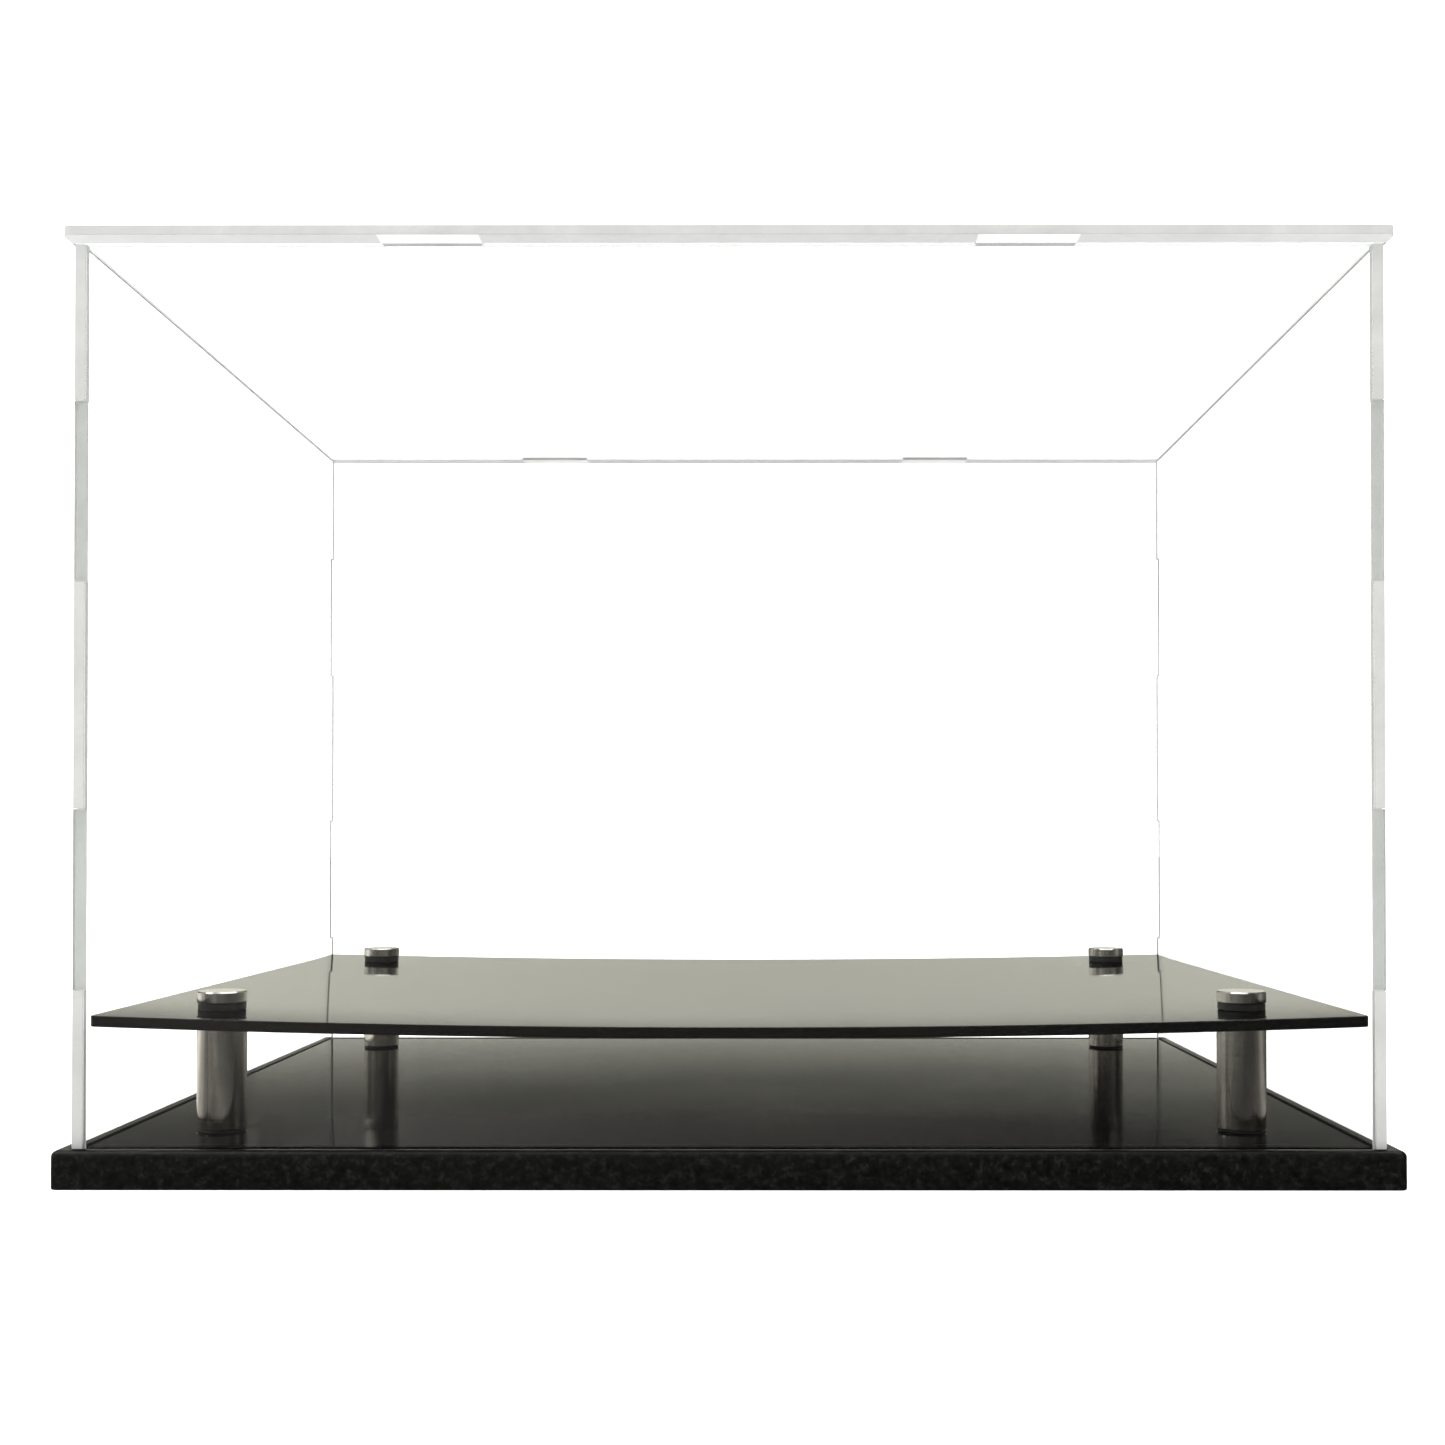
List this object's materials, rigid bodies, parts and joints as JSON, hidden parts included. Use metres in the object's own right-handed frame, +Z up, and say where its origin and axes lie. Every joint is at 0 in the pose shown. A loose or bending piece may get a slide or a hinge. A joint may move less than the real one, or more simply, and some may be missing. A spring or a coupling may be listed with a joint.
{
  "type": "football display case",
  "caption": "Tabletop helmet display case: black base board with a gloss deck, clear lift-off cover of jointed panels, and a black riser on steel standoffs.",
  "frame": {"origin": "middle of the base board's underside, on the surface the case stands on", "axes": "+X to the right along the width, +Y to the back along the depth, +Z up; the front faces -Y"},
  "size_m": [0.42, 0.312, 0.298],
  "materials": {
    "base_black": "fibreboard painted satin black, faintly coarse on its edges",
    "deck_gloss_black": "polished black acrylic",
    "riser_gloss_black": "polished black acrylic",
    "clear_acrylic": "clear cast acrylic with polished edges",
    "standoff_steel": "turned and polished stainless steel",
    "washer_black": "matte black",
    "screw_steel": "plain machine screw"
  },
  "bodies": {
    "base": {"base_board": "base_black", "deck_panel": "deck_gloss_black", "riser_panel": "riser_gloss_black", "foot_washer_front_left": "washer_black", "foot_washer_front_right": "washer_black", "foot_washer_back_left": "washer_black", "foot_washer_back_right": "washer_black", "barrel_front_left": "standoff_steel", "barrel_front_right": "standoff_steel", "barrel_back_left": "standoff_steel", "barrel_back_right": "standoff_steel", "riser_washer_front_left": "washer_black", "riser_washer_front_right": "washer_black", "riser_washer_back_left": "washer_black", "riser_washer_back_right": "washer_black", "cap_washer_front_left": "washer_black", "cap_washer_front_right": "washer_black", "cap_washer_back_left": "washer_black", "cap_washer_back_right": "washer_black", "cap_front_left": "standoff_steel", "cap_front_right": "standoff_steel", "cap_back_left": "standoff_steel", "cap_back_right": "standoff_steel", "base_screw_front_left": "screw_steel", "base_screw_front_right": "screw_steel", "base_screw_back_left": "screw_steel", "base_screw_back_right": "screw_steel"},
    "cover": {"cover_top": "clear_acrylic", "cover_front": "clear_acrylic", "cover_back": "clear_acrylic", "cover_left": "clear_acrylic", "cover_right": "clear_acrylic"}
  },
  "joints": [
    {"name": "cover_lift", "type": "slide", "parent": "base", "child": "cover", "axis": [0, 0, 1], "range_m": [0, 0.3]}
  ]
}
